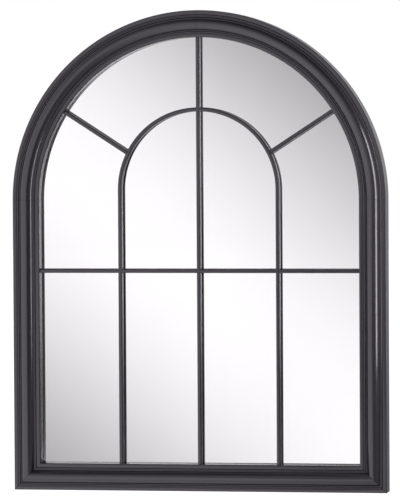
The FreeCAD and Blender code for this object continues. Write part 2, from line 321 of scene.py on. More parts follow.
def charcoal_paint(name, grain, film, rubbed=False):
    made, tree, shader = material("charcoal paint, " + name)
    inputs = {"Grain": grain(tree), "Tone": PAINT_TONE, "Rubbed Tone": PAINT_RUBBED, "Back Tone": BARE_BACK,
              "Rub": 0.0, "Hollow": 0.0}
    if rubbed:
        inputs["Rub"] = attribute(tree, "rub")["Fac"]
        inputs["Hollow"] = attribute(tree, "hollow")["Fac"]
    coat = node(tree, "ShaderNodeGroup", inputs, node_tree=film).outputs
    dress(tree, shader, coat["Color"], coat["Roughness"], coat["Height"], PAINT_RELIEF)
    shader.inputs["Specular IOR Level"].default_value = PAINT_SHEEN
    shader.inputs["Specular Tint"].default_value = PAINT_SHEEN_TINT
    return made


# Steel, wood, board, rubber, glass and silvering

ZINC_TONES = ((0.52, 0.54, 0.57, 1.0), (0.66, 0.67, 0.68, 1.0))
ZINC_DULL_TONE = (0.50, 0.50, 0.49, 1.0)
ZINC_SPANGLE = 900.0
ZINC_WIPE = (2600.0, 2600.0, 160.0)
ZINC_DULL = 120.0
ZINC_DULL_PATCHES = (0.55, 0.75)
ZINC_DULL_SHARE = 0.5
ZINC_HAZE = (0.5, 0.8)
ZINC_HAZE_ROUGHNESS = 0.15
ZINC_ROUGHNESS = (0.24, 0.36)
ZINC_RELIEF = (0.25, 0.00002)

BEECH_TONES = ((0.50, 0.33, 0.19, 1.0), (0.66, 0.47, 0.30, 1.0))
BEECH_FLECK_TONE = (0.33, 0.19, 0.10, 1.0)
BEECH_FIBRE = 700.0
BEECH_FLECKS = (500.0, 2200.0, 500.0)
BEECH_FLECK_LIMITS = (0.6, 0.7)
BEECH_FLECK_SHARE = 0.6
BEECH_ROUGHNESS = (0.55, 0.75)
BEECH_RELIEF = (0.3, 0.0001)

BOARD_TONES = ((0.20, 0.115, 0.062, 1.0), (0.34, 0.215, 0.125, 1.0))
BOARD_CLOUD_TONE = (0.235, 0.140, 0.078, 1.0)
BOARD_SHIVE_TONE = (0.42, 0.29, 0.18, 1.0)
BOARD_DENT_TONE = (0.12, 0.065, 0.035, 1.0)
BOARD_FIBRE = 380.0
BOARD_FIBRE_HEIGHT = 0.4
BOARD_CLOUD = 14.0
BOARD_CLOUD_LIMITS = (0.35, 0.7)
BOARD_CLOUD_SHARE = 0.45
BOARD_SHIVES = (520.0, 900.0, 150.0)
BOARD_SHIVE_LIMITS = (0.64, 0.70)
BOARD_SHIVE_SHARE = 0.7
BOARD_SHEEN_RANGE = (0.2, 0.8)
BOARD_ROUGHNESS = (0.55, 0.8)
BOARD_RELIEF = (0.5, 0.00025)
SCREEN_PITCH = 0.0014
SCREEN_SKIN = (0.0004, 0.0001)
SCREEN_HEIGHT = 0.5
SCREEN_DENT_SHARE = 0.35

RUBBER_TONES = ((0.020, 0.020, 0.021, 1.0), (0.055, 0.055, 0.056, 1.0))
RUBBER_SKIN = 1800.0
RUBBER_BLOOM = 160.0
RUBBER_BLOOM_LIMITS = (0.45, 0.75)
RUBBER_ROUGHNESS = (0.55, 0.72)
RUBBER_RELIEF = (0.3, 0.00005)

GLASS_TINTS = ((0.998, 0.988, 0.999, 1.0), (0.993, 0.983, 0.994, 1.0))
GLASS_SMEAR = (9.0, 1.0, 5.0)
GLASS_TINT_LIMITS = (0.4, 0.8)
GLASS_HAZE_LIMITS = (0.45, 0.8)
GLASS_ROUGHNESS = (0.0, 0.012)
GLASS_IOR = 1.52

SILVER_TONE = (0.958, 0.955, 0.960, 1.0)
SILVER_PAINT_TONES = ((0.16, 0.18, 0.18, 1.0), (0.23, 0.25, 0.25, 1.0))
SILVER_PAINT_ROUGHNESS = (0.4, 0.6)
SILVER_STREAKS = (60.0, 60.0, 8.0)
SILVER_EDGE = 0.00001


def zinc_plate():
    made, tree, shader = material("zinc plated steel")
    place = object_place(tree)
    spangle = node(tree, "ShaderNodeTexVoronoi", {"Vector": place, "Scale": ZINC_SPANGLE}).outputs["Color"]
    wipe = noise(tree, place, ZINC_WIPE)
    dull = noise(tree, place, ZINC_DULL)
    tone = blend(tree, ramp(tree, parts_of(tree, spangle)[0], 0.0, 1.0), *ZINC_TONES)
    tone = blend(tree, ramp(tree, dull, *ZINC_DULL_PATCHES, 0.0, ZINC_DULL_SHARE), tone, ZINC_DULL_TONE)
    rough = ramp(tree, wipe, *NOISE_RANGE, *ZINC_ROUGHNESS)
    rough = plus(tree, rough, ramp(tree, dull, *ZINC_HAZE, 0.0, ZINC_HAZE_ROUGHNESS))
    dress(tree, shader, tone, rough, wipe, ZINC_RELIEF)
    shader.inputs["Metallic"].default_value = 1.0
    return made


def beech():
    made, tree, shader = material("bare beech")
    place = object_place(tree)
    fibre = noise(tree, place, BEECH_FIBRE, 4.0)
    flecks = ramp(tree, noise(tree, place, BEECH_FLECKS, 2.0), *BEECH_FLECK_LIMITS)
    tone = blend(tree, ramp(tree, fibre, *NOISE_RANGE), *BEECH_TONES)
    tone = blend(tree, times(tree, flecks, BEECH_FLECK_SHARE), tone, BEECH_FLECK_TONE)
    dress(tree, shader, tone, ramp(tree, fibre, *NOISE_RANGE, *BEECH_ROUGHNESS), fibre, BEECH_RELIEF)
    return made


def hardboard():
    """Brown pressed fibre with the print of the press screen on its back."""
    made, tree, shader = material("brown hardboard")
    place = object_place(tree)
    x, y, z = parts_of(tree, place)
    fibre = noise(tree, place, BOARD_FIBRE, 6.0, 0.7)
    cloud = noise(tree, place, BOARD_CLOUD)
    shives = ramp(tree, noise(tree, place, BOARD_SHIVES, 2.0), *BOARD_SHIVE_LIMITS)
    wires = [maths(tree, "SINE", times(tree, way, 2 * math.pi / SCREEN_PITCH)) for way in (x, z)]
    back = ramp(tree, y, *[board_high.y - skin for skin in SCREEN_SKIN])
    dents = times(tree, times(tree, times(tree, *wires), back), SCREEN_HEIGHT)
    tone = blend(tree, ramp(tree, fibre, *NOISE_RANGE), *BOARD_TONES)
    tone = blend(tree, ramp(tree, cloud, *BOARD_CLOUD_LIMITS, 0.0, BOARD_CLOUD_SHARE), tone, BOARD_CLOUD_TONE)
    tone = blend(tree, times(tree, shives, BOARD_SHIVE_SHARE), tone, BOARD_SHIVE_TONE)
    tone = blend(tree, ramp(tree, dents, -SCREEN_HEIGHT, 0.0, SCREEN_DENT_SHARE, 0.0), tone, BOARD_DENT_TONE)
    height = plus(tree, dents, fibre, BOARD_FIBRE_HEIGHT)
    dress(tree, shader, tone, ramp(tree, fibre, *BOARD_SHEEN_RANGE, *BOARD_ROUGHNESS), height, BOARD_RELIEF)
    return made


def soft_rubber():
    made, tree, shader = material("black rubber")
    place = object_place(tree)
    skin = noise(tree, place, RUBBER_SKIN)
    bloom = noise(tree, place, RUBBER_BLOOM)
    tone = blend(tree, ramp(tree, bloom, *RUBBER_BLOOM_LIMITS), *RUBBER_TONES)
    dress(tree, shader, tone, ramp(tree, skin, *NOISE_RANGE, *RUBBER_ROUGHNESS), skin, RUBBER_RELIEF)
    return made


def clear_glass():
    made, tree, shader = material("clear float glass")
    smear = noise(tree, object_place(tree), GLASS_SMEAR, 4.0, 0.6)
    tint = blend(tree, ramp(tree, smear, *GLASS_TINT_LIMITS), *GLASS_TINTS)
    dress(tree, shader, tint, ramp(tree, smear, *GLASS_HAZE_LIMITS, *GLASS_ROUGHNESS))
    shader.inputs["Transmission Weight"].default_value = 1.0
    shader.inputs["IOR"].default_value = GLASS_IOR
    return made


def silvering():
    """Bright silver towards the glass and grey paint behind."""
    made, tree, shader = material("silver coat")
    place = object_place(tree)
    middle = (silver_low.y + silver_high.y) / 2
    behind = ramp(tree, parts_of(tree, place)[1], middle - SILVER_EDGE, middle + SILVER_EDGE)
    streak = noise(tree, place, SILVER_STREAKS)
    paint = blend(tree, ramp(tree, streak, *NOISE_RANGE), *SILVER_PAINT_TONES)
    tone = blend(tree, behind, SILVER_TONE, paint)
    paint_roughness = ramp(tree, streak, *NOISE_RANGE, *SILVER_PAINT_ROUGHNESS)
    dress(tree, shader, tone, times(tree, behind, paint_roughness))
    tree.links.new(less(tree, 1.0, behind), shader.inputs["Metallic"])
    return made


film = paint_film()
painted_moulding = charcoal_paint("moulding", swept_grain, film, rubbed=True)
painted_upright = charcoal_paint("upright bar", bar_grain(math.pi / 2, -1), film)
painted_level = charcoal_paint("level bar", bar_grain(0.0, 1), film)
painted_round = charcoal_paint("arched bar", round_grain, film)
painted_left_fan = charcoal_paint("left fan bar", bar_grain(FAN_LEAN, -1), film)
painted_right_fan = charcoal_paint("right fan bar", bar_grain(FAN_LEAN, 1), film)
zinc = zinc_plate()
rubber = soft_rubber()
dowel_wood = beech()

carried_over = {
    "centre_bar": painted_upright,
    "left_leg_bar": painted_upright,
    "right_leg_bar": painted_upright,
    "cross_bar": painted_level,
    "left_fan_bar": painted_left_fan,
    "right_fan_bar": painted_right_fan,
    "springing_dowels": dowel_wood,
    "crown_dowels": dowel_wood,
    "mitre_dowels": dowel_wood,
    "bar_pins": zinc,
    "left_hanger_strap": zinc,
    "right_hanger_strap": zinc,
    "left_ring": zinc,
    "right_ring": zinc,
    "setting_blocks": rubber,
    "wall_bumpers": rubber,
}
for name, finish in carried_over.items():
    nodes[name].material_slots[0].material = finish


# Mouldings and the inner arch, swept from their sections

def crown_points(start, end, floor, rise):
    """Points of a shallow round from one quirk to the next."""
    half = (end - start) / 2
    radius = (half ** 2 + rise ** 2) / (2 * rise)
    reach = math.atan2(half, radius - rise)
    turns = np.linspace(-reach, reach, CROWN_STEPS)
    across = start + half + radius * np.sin(turns)
    return list(zip(across, floor + rise - radius + radius * np.cos(turns)))


def corner_points(corner_across, corner_depth, radius, across_way, first_turn):
    """Points of a quarter round inside an outer corner of the section."""
    centre = (corner_across + across_way * radius, corner_depth - radius)
    turns = np.linspace(first_turn, first_turn - math.pi / 2, CORNER_STEPS)
    return [(centre[0] + radius * math.cos(t), centre[1] + radius * math.sin(t)) for t in turns]


def moulding_outline():
    """The section as across and depth, from the back outer corner round by the front."""
    groove = FRAME_DEPTH - QUIRK_DEPTH
    bead = FLAT + QUIRK
    torus = bead + BEAD + QUIRK
    inner_bead = torus + TORUS + QUIRK
    inner_flat = inner_bead + BEAD + QUIRK
    rebate_wall = FACE - REBATE_WIDTH
    points = [(0.0, 0.0)]
    points += corner_points(0.0, FRAME_DEPTH, OUTER_ROUND, 1, math.pi)
    points += [(FLAT, FRAME_DEPTH), (FLAT, groove)]
    points += crown_points(bead, bead + BEAD, groove, BEAD_RISE)
    points += crown_points(torus, torus + TORUS, groove, QUIRK_DEPTH + TORUS_RISE)
    points += crown_points(inner_bead, inner_bead + BEAD, groove, BEAD_RISE)
    points += [(inner_flat, groove), (inner_flat, FRAME_DEPTH)]
    points += corner_points(FACE, FRAME_DEPTH, SIGHT_ROUND, -1, math.pi / 2)
    points += [(FACE, REBATE_DEPTH), (rebate_wall, REBATE_DEPTH), (rebate_wall, 0.0)]
    return np.array(points)


def bar_outline():
    """A bar's section in the same way: flat at the back and rounded at the front."""
    points = [(0.0, 0.0)]
    points += corner_points(0.0, BAR_DEPTH, BAR_ROUND, 1, math.pi)
    points += corner_points(BAR_WIDTH, BAR_DEPTH, BAR_ROUND, -1, math.pi / 2)
    points += [(BAR_WIDTH, 0.0)]
    return np.array(points)


def softened(outline):
    """The outline walked in even steps, with its corners filled as paint fills them."""
    closed = np.vstack([outline, outline[:1]])
    lengths = np.linalg.norm(np.diff(closed, axis=0), axis=1)
    walked = np.concatenate([[0.0], np.cumsum(lengths)])
    count = int(walked[-1] / SECTION_STEP)
    places = np.linspace(0.0, walked[-1], count, endpoint=False)
    even = np.stack([np.interp(places, walked, closed[:, i]) for i in (0, 1)], axis=1)
    spread = PAINT_SOFTENING / SECTION_STEP
    offsets = np.arange(-int(4 * spread), int(4 * spread) + 1)
    weights = np.exp(-0.5 * (offsets / spread) ** 2)
    weights /= weights.sum()
    return sum(w * np.roll(even, -o, axis=0) for w, o in zip(weights, offsets))


def way_between(values, limits):
    """How far values lie from a low limit to a high one, from 0 to 1."""
    low, high = limits
    return np.clip((values - low) / (high - low), 0.0, 1.0)


def swept_section(name, outline):
    """A loop of edges that carries the section's places, leans, rubbed edges, and the dulling and painted
    shade of hollows and outer walls.
    """
    line = softened(outline)
    ahead = np.roll(line, -1, axis=0) - np.roll(line, 1, axis=0)
    heading = np.unwrap(np.arctan2(ahead[:, 1], ahead[:, 0]))
    bend = np.gradient(heading) / SECTION_STEP
    bend[[0, -1]] = 0.0
    kept = [0]
    for i in range(1, len(line)):
        far = (i - kept[-1]) * SECTION_STEP > SECTION_GAP
        if far or abs(heading[i] - heading[kept[-1]]) > SECTION_TURN:
            kept.append(i)
    line = line[kept]
    bend = bend[kept]
    lean_across = -np.sin(heading[kept])
    lean_depth = np.cos(heading[kept])
    # Outer walls share the dulling and painted shade of the hollows
    outer_wall_dulling_and_painted_shade = way_between(-lean_across, WALL_LEAN) * OUTER_WALL_DULLING_AND_PAINTED_SHADE
    columns = {
        "across": line[:, 0],
        "depth": line[:, 1],
        "lean_across": lean_across,
        "lean_depth": lean_depth,
        "rub": way_between(-bend, RUBBED_BEND),
        "hollow": np.maximum(way_between(bend, HOLLOW_BEND), outer_wall_dulling_and_painted_shade),
    }
    count = len(kept)
    mesh = bpy.data.meshes.new(name)
    mesh.from_pydata([(u, v, 0.0) for u, v in line], [(i, (i + 1) % count) for i in range(count)], [])
    for column, values in columns.items():
        mesh.attributes.new(column, "FLOAT", "POINT").data.foreach_set("value", values.astype(np.float32))
    return mesh


def named(tree, name):
    return node(tree, "GeometryNodeInputNamedAttribute", {"Name": name}, data_type="FLOAT").outputs[0]


def stored(tree, geometry, name, value, kind="FLOAT"):
    made = node(tree, "GeometryNodeStoreNamedAttribute",
                {"Geometry": geometry, "Name": name, "Value": value}, data_type=kind, domain="POINT")
    return made.outputs[0]


def moved(tree, geometry, place, **turn):
    made = node(tree, "GeometryNodeTransform", {"Geometry": geometry, "Translation": place, **turn})
    return made.outputs[0]


def geometry_group(name, inputs):
    """A geometry tree with its sizes, its finish and one result."""
    return group(name, "GeometryNodeTree", inputs + [("Finish", "Material")], [("Geometry", "Geometry")])


def ending(tree, geometry, finish, out):
    """Every tree ends with plain geometry in its finish."""
    plain = node(tree, "GeometryNodeRealizeInstances", {"Geometry": geometry}).outputs[0]
    done = node(tree, "GeometryNodeSetMaterial", {"Geometry": plain, "Material": finish}).outputs[0]
    tree.links.new(done, out[0])


def moulding_run():
    """A section carried along a straight or arched run, with square or mitred ends eased at the joint."""
    tree, given, out = geometry_group(
        "moulding run",
        [("Section", "Geometry"), ("Rings", "Int"), ("Start", "Float"), ("End", "Float"),
         ("Start Mitre", "Float"), ("End Mitre", "Float"), ("Joint Ease", "Float"), ("Ease Along", "Float"),
         ("Arched", "Bool"), ("Radius", "Float"), ("Corner", "Vector"), ("Along", "Vector"),
         ("Across", "Vector")])
    index = node(tree, "GeometryNodeInputIndex").outputs[0]
    last_ring = less(tree, given["Rings"], 1)
    inner_rings = less(tree, given["Rings"], 3)
    line = node(tree, "GeometryNodeMeshLine", {"Count": given["Rings"], "Offset": (0, 0, 1)}).outputs[0]
    step = maths(tree, "DIVIDE", less(tree, index, 1), inner_rings, clamp=True)
    line = stored(tree, line, "step", step)
    line = stored(tree, line, "first", maths(tree, "LESS_THAN", index, 0.5))
    line = stored(tree, line, "last", maths(tree, "GREATER_THAN", index, less(tree, last_ring, 0.5)))
    rail = node(tree, "GeometryNodeMeshToCurve", {"Mesh": line}).outputs[0]
    loop = node(tree, "GeometryNodeMeshToCurve", {"Mesh": given["Section"]}).outputs[0]
    swept = node(tree, "GeometryNodeCurveToMesh",
                 {"Curve": rail, "Profile Curve": loop, "Fill Caps": True}).outputs[0]

    first = named(tree, "first")
    last = named(tree, "last")
    eased = times(tree, plus(tree, first, last), given["Joint Ease"])
    across = less(tree, named(tree, "across"), times(tree, named(tree, "lean_across"), eased))
    depth = less(tree, named(tree, "depth"), times(tree, named(tree, "lean_depth"), eased))
    low = plus(tree, given["Start"], given["Start Mitre"], across)
    low = plus(tree, low, given["Ease Along"])
    high = less(tree, given["End"], times(tree, given["End Mitre"], across))
    high = less(tree, high, given["Ease Along"])
    run = plus(tree, low, less(tree, high, low), named(tree, "step"))
    run = plus(tree, run, less(tree, last, first), given["Ease Along"])

    inwards = scaled(tree, given["Across"], across)
    straight = vector_maths(tree, "ADD", scaled(tree, given["Along"], run), inwards)
    spoke = joined(tree, maths(tree, "COSINE", run), 0.0, maths(tree, "SINE", run))
    arched = scaled(tree, spoke, less(tree, given["Radius"], across))
    flat = node(tree, "GeometryNodeSwitch", {"Switch": given["Arched"], "False": straight, "True": arched},
                input_type="VECTOR").outputs[0]
    forward = joined(tree, 0.0, times(tree, depth, -1.0), 0.0)
    place = vector_maths(tree, "ADD", vector_maths(tree, "ADD", flat, forward), given["Corner"])
    set_place = node(tree, "GeometryNodeSetPosition", {"Geometry": swept, "Position": place}).outputs[0]
    round_run = times(tree, run, given["Radius"])
    walked = node(tree, "GeometryNodeSwitch", {"Switch": given["Arched"], "False": run, "True": round_run},
                  input_type="FLOAT").outputs[0]
    grained = stored(tree, set_place, "grain", joined(tree, walked, across, depth), "FLOAT_VECTOR")
    ending(tree, grained, given["Finish"], out)
    return tree


def halved_bar():
    """A bar with a notch across its back, where another bar laps it."""
    tree, given, out = geometry_group(
        "halved bar", [("Bar", "Geometry"), ("Notch", "Vector"), ("Middle", "Vector")])
    block = node(tree, "GeometryNodeMeshCube", {"Size": given["Notch"]}).outputs[0]
    block = moved(tree, block, given["Middle"])
    cut = node(tree, "GeometryNodeMeshBoolean", {"Mesh 1": given["Bar"], "Mesh 2": block},
               operation="DIFFERENCE", solver="MANIFOLD").outputs[0]
    ending(tree, cut, given["Finish"], out)
    return tree


def in_scene(data, name):
    """A new object in the scene, from a mesh, a lamp or a camera."""
    made = bpy.data.objects.new(name, data)
    scene.collection.objects.link(made)
    return made


def made_by(tree, source, name, **inputs):
    """What a tree makes of a source mesh, as a plain piece with its faces outwards."""
    maker = in_scene(source, name + "_maker")
    modifier = maker.modifiers.new(tree.name, "NODES")
    modifier.node_group = tree
    for socket in tree.interface.items_tree:
        key = socket.name.lower().replace(" ", "_")
        if socket.in_out == "INPUT" and key in inputs:
            modifier[socket.identifier] = inputs[key]
    depsgraph = bpy.context.evaluated_depsgraph_get()
    mesh = bpy.data.meshes.new_from_object(
        maker.evaluated_get(depsgraph), preserve_all_data_layers=True, depsgraph=depsgraph)
    bpy.data.objects.remove(maker)
    mesh.name = name
    turned = bmesh.new()
    turned.from_mesh(mesh)
    bmesh.ops.recalc_face_normals(turned, faces=turned.faces)
    for face in turned.faces:
        face.smooth = True
        face.material_index = 0
    turned.to_mesh(mesh)
    turned.free()
    mesh.materials.clear()
    mesh.materials.append(inputs["finish"])
    mesh.set_sharp_from_angle(angle=SMOOTH_ANGLE)
    return in_scene(mesh, name)


def on_frame(piece, node_name):
    """The piece rides on the frame in place of a CAD node."""
    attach(piece, "framed_mirror")
    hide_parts(node_name)


section = swept_section("moulding section", moulding_outline())
run_tree = moulding_run()
left_foot = (-half_width, back_y, bottom_z)
right_foot = (half_width, back_y, bottom_z)
stile_length = arch_z - bottom_z
straight_runs = {
    "left_stile": dict(corner=left_foot, along=(0, 0, 1), across=(1, 0, 0), end=stile_length),
    "right_stile": dict(corner=right_foot, along=(0, 0, 1), across=(-1, 0, 0), end=stile_length),
    "bottom_rail": dict(corner=left_foot, along=(1, 0, 0), across=(0, 0, 1), end=2 * half_width,
                        end_mitre=1.0),
}
for name, run in straight_runs.items():
    piece = made_by(run_tree, section, name + "_moulding", rings=STRAIGHT_RINGS, start=0.0, start_mitre=1.0,
                    joint_ease=JOINT_EASE, ease_along=JOINT_EASE, finish=painted_moulding, **run)
    on_frame(piece, name)
arched_runs = {"left_arch": math.pi / 2, "right_arch": 0.0}
for name, start in arched_runs.items():
    piece = made_by(run_tree, section, name + "_moulding", rings=ARCH_RINGS, start=start,
                    end=start + math.pi / 2, joint_ease=JOINT_EASE, ease_along=JOINT_EASE / half_width,
                    arched=True, radius=half_width, corner=(0.0, back_y, arch_z), finish=painted_moulding)
    on_frame(piece, name)

bar_section = swept_section("bar section", bar_outline())
blank = made_by(run_tree, bar_section, "inner_arch_blank", rings=INNER_ARCH_RINGS, start=0.0, end=math.pi,
                joint_ease=BAR_JOINT_EASE, ease_along=BAR_JOINT_EASE / inner_arch_radius, arched=True,
                radius=inner_arch_radius, corner=(0.0, bar_back_y, inner_arch_z), finish=painted_round)
inner_arch = made_by(halved_bar(), blank.data, "inner_arch_glazing_bar",
                     notch=(BAR_WIDTH, BAR_DEPTH, NOTCH_HEIGHT), middle=(0.0, bar_back_y, inner_arch_high.z),
                     finish=painted_round)
bpy.data.objects.remove(blank)
on_frame(inner_arch, "inner_arch_bar")


# Flat sheets in the rebate

SHEET_ARC_STEPS = 128
GLASS_EASE = 0.0004
SILVER_EASE = 0.00002
SILVER_CLEARANCE = 0.00005
BOARD_EASE = 0.0003


def sheet_outline(inset):
    """Points round the frame's outline, drawn in by an inset."""
    half = half_width - inset
    turns = np.linspace(0.0, math.pi, SHEET_ARC_STEPS + 1)
    points = [(half * math.cos(t), arch_z + half * math.sin(t)) for t in turns]
    return points + [(-half, bottom_z + inset), (half, bottom_z + inset)]


def eased_sheet(name, half, front_y, rear_y, ease, finish):
    """An arched sheet of a given half width, with its arrises taken off."""
    inset = half_width - half
    rings = [(inset + ease, front_y), (inset, front_y + ease), (inset, rear_y - ease), (inset + ease, rear_y)]
    made = bmesh.new()
    loops = [[made.verts.new((x, y, z)) for x, z in sheet_outline(ring)] for ring, y in rings]
    count = len(loops[0])
    for low, high in zip(loops, loops[1:]):
        for i in range(count):
            made.faces.new((low[i], low[i - 1], high[i - 1], high[i]))
    made.faces.new(loops[0])
    made.faces.new(loops[-1][::-1])
    bmesh.ops.recalc_face_normals(made, faces=made.faces)
    mesh = bpy.data.meshes.new(name)
    made.to_mesh(mesh)
    made.free()
    mesh.materials.append(finish)
    return in_scene(mesh, name)


glass = eased_sheet("mirror_glass_sheet", glass_high.x, glass_low.y, glass_high.y, GLASS_EASE, clear_glass())
on_frame(glass, "mirror_glass")
silver = eased_sheet("silver_coat_film", silver_high.x, silver_low.y + SILVER_CLEARANCE, silver_high.y,
                     SILVER_EASE, silvering())
on_frame(silver, "silver_coat")
board = eased_sheet("backing_board_sheet", board_high.x, board_low.y, board_high.y, BOARD_EASE, hardboard())
on_frame(board, "backing_board")


# Screws and tabs, each made once and set at its places

SCREW_HEAD = 0.0035
SCREW_HEAD_HEIGHT = 0.0022
SCREW_RIM = 0.0005
SCREW_RIM_EASE = 0.00015
SCREW_CORE = 0.00135
SCREW_LENGTH = 0.016
SCREW_POINT = 0.004
SCREW_DOME_STEPS = 14
SCREW_SIDES = 48
RECESS_LENGTH = 0.0040
RECESS_WIDTH = 0.0007
RECESS_DEPTH = 0.0012
THREAD_TURNS = 9.0
THREAD_RADIUS = 0.00143
THREAD_RIDGE = 0.0003
THREAD_RIDGE_SIDES = 3
THREAD_START = -0.0012
THREAD_LENGTH = 0.0108
MERGE_DISTANCE = 1e-6
STRAP_FOOT_MARGIN = 0.008
SCREW_SPACING = 0.014
SCREW_TURNS = (0.30, 1.12, -0.49, 0.72)
TAB_LENGTH = 0.015
TAB_WIDTH = 0.006
TAB_THICKNESS = 0.0006
TAB_BITE = 0.007
TAB_POINT = 0.003
TAB_CORNER = 0.0012
TAB_EASE = 0.0001
TAB_EASE_STEPS = 2
TABS_PER_STILE = 3
TABS_PER_ARCH = 4
TABS_ON_RAIL = 4


def screw_section():
    """Half the outline of a round-head screw, from the top of its head to its point."""
    dome = SCREW_HEAD_HEIGHT - SCREW_RIM
    ball = (SCREW_HEAD ** 2 + dome ** 2) / (2 * dome)
    leans = np.linspace(0.0, math.asin(SCREW_HEAD / ball), SCREW_DOME_STEPS)
    points = [(ball * math.sin(t), SCREW_HEAD_HEIGHT - ball + ball * math.cos(t)) for t in leans]
    points += [(SCREW_HEAD, SCREW_RIM_EASE), (SCREW_HEAD - SCREW_RIM_EASE, 0.0), (SCREW_CORE, 0.0)]
    points += [(SCREW_CORE, SCREW_POINT - SCREW_LENGTH), (0.0, -SCREW_LENGTH)]
    mesh = bpy.data.meshes.new("screw section")
    mesh.from_pydata([(r, h, 0.0) for r, h in points], [(i - 1, i) for i in range(1, len(points))], [])
    for name, column in (("girth", 0), ("height", 1)):
        values = np.array(points, dtype=np.float32)[:, column]
        mesh.attributes.new(name, "FLOAT", "POINT").data.foreach_set("value", np.ascontiguousarray(values))
    return mesh


def turned_screw():
    """A section turned round the screw's axis, with a cross recess in the head and a thread on the shank."""
    tree, given, out = geometry_group(
        "turned screw",
        [("Section", "Geometry"), ("Sides", "Int"), ("Recess Length", "Float"), ("Recess Width", "Float"),
         ("Recess Depth", "Float"), ("Recess Height", "Float"), ("Thread Turns", "Float"),
         ("Thread Radius", "Float"), ("Thread Ridge", "Float"), ("Thread Start", "Float"),
         ("Thread Length", "Float")])
    index = node(tree, "GeometryNodeInputIndex").outputs[0]
    ring = node(tree, "GeometryNodeMeshCircle", {"Vertices": given["Sides"]}).outputs[0]
    turn = maths(tree, "DIVIDE", times(tree, index, 2 * math.pi), given["Sides"])
    rail = node(tree, "GeometryNodeMeshToCurve", {"Mesh": stored(tree, ring, "turn", turn)}).outputs[0]
    half = node(tree, "GeometryNodeMeshToCurve", {"Mesh": given["Section"]}).outputs[0]
    body = node(tree, "GeometryNodeCurveToMesh", {"Curve": rail, "Profile Curve": half}).outputs[0]
    girth = named(tree, "girth")
    x = times(tree, girth, maths(tree, "COSINE", named(tree, "turn")))
    z = times(tree, girth, maths(tree, "SINE", named(tree, "turn")))
    place = joined(tree, x, named(tree, "height"), z)
    body = node(tree, "GeometryNodeSetPosition", {"Geometry": body, "Position": place}).outputs[0]
    body = node(tree, "GeometryNodeMergeByDistance",
                {"Geometry": body, "Distance": MERGE_DISTANCE}).outputs[0]
    body = node(tree, "GeometryNodeFlipFaces", {"Mesh": body}).outputs[0]

    long, wide = given["Recess Length"], given["Recess Width"]
    deep = times(tree, given["Recess Depth"], 2.0)
    lifted = joined(tree, 0.0, given["Recess Height"], 0.0)
    cut = node(tree, "GeometryNodeMeshBoolean", {"Mesh 1": body}, operation="DIFFERENCE", solver="MANIFOLD")
    for size in (joined(tree, long, deep, wide), joined(tree, wide, deep, long)):
        slot = node(tree, "GeometryNodeMeshCube", {"Size": size}).outputs[0]
        tree.links.new(moved(tree, slot, lifted), cut.inputs["Mesh 2"])

    helix = node(tree, "GeometryNodeCurveSpiral",
                 {"Resolution": given["Sides"], "Rotations": given["Thread Turns"],
                  "Start Radius": given["Thread Radius"], "End Radius": given["Thread Radius"],
                  "Height": given["Thread Length"]}).outputs[0]
    ridge = node(tree, "GeometryNodeCurvePrimitiveCircle",
                 {"Resolution": THREAD_RIDGE_SIDES, "Radius": given["Thread Ridge"]}).outputs[0]
    thread = node(tree, "GeometryNodeCurveToMesh",
                  {"Curve": helix, "Profile Curve": ridge, "Fill Caps": True}).outputs[0]
    lowered = joined(tree, 0.0, given["Thread Start"], 0.0)
    thread = moved(tree, thread, lowered, Rotation=(math.pi / 2, 0.0, 0.0))
    whole = node(tree, "GeometryNodeJoinGeometry")
    for part in (cut.outputs[0], thread):
        tree.links.new(part, whole.inputs[0])
    ending(tree, whole.outputs[0], given["Finish"], out)
    return tree


def set_in_place():
    """One piece repeated at every place, turned about the axis that runs into the wall."""
    tree, given, out = geometry_group("set in place", [("Places", "Geometry"), ("Piece", "Object")])
    piece = node(tree, "GeometryNodeObjectInfo", {"Object": given["Piece"]}).outputs["Geometry"]
    turn = joined(tree, 0.0, named(tree, "turn"), 0.0)
    copies = node(tree, "GeometryNodeInstanceOnPoints",
                  {"Points": given["Places"], "Instance": piece, "Rotation": turn}).outputs[0]
    ending(tree, copies, given["Finish"], out)
    return tree


def places_mesh(name, places):
    """Points with a turn each."""
    mesh = bpy.data.meshes.new(name)
    mesh.from_pydata([point for point, turn in places], [], [])
    turns = np.array([turn for point, turn in places], dtype=np.float32)
    mesh.attributes.new("turn", "FLOAT", "POINT").data.foreach_set("value", turns)
    return mesh


def pressed_tab():
    """A pointed steel tab with eased edges: its bite lies behind the origin and its tongue ahead of it."""
    tongue = TAB_LENGTH - TAB_BITE
    half = TAB_WIDTH / 2
    shoulder = TAB_POINT - TAB_BITE
    lower = [(shoulder, -half), (tongue - TAB_CORNER, -half), (tongue, TAB_CORNER - half)]
    outline = [(-TAB_BITE, 0.0)] + lower + [(x, -z) for x, z in reversed(lower)]
    made = bmesh.new()
    sole = made.faces.new([made.verts.new((x, 0.0, z)) for x, z in outline])
    raised = bmesh.ops.extrude_face_region(made, geom=[sole])["geom"]
    for vert in raised:
        if isinstance(vert, bmesh.types.BMVert):
            vert.co.y = TAB_THICKNESS
    rims = [edge for edge in made.edges if edge.verts[0].co.y == edge.verts[1].co.y]
    bmesh.ops.bevel(made, geom=rims, offset=TAB_EASE, segments=TAB_EASE_STEPS, profile=0.5, affect="EDGES")
    bmesh.ops.recalc_face_normals(made, faces=made.faces)
    mesh = bpy.data.meshes.new("pressed tab")
    made.to_mesh(mesh)
    made.free()
    return bpy.data.objects.new("pressed_tab", mesh)


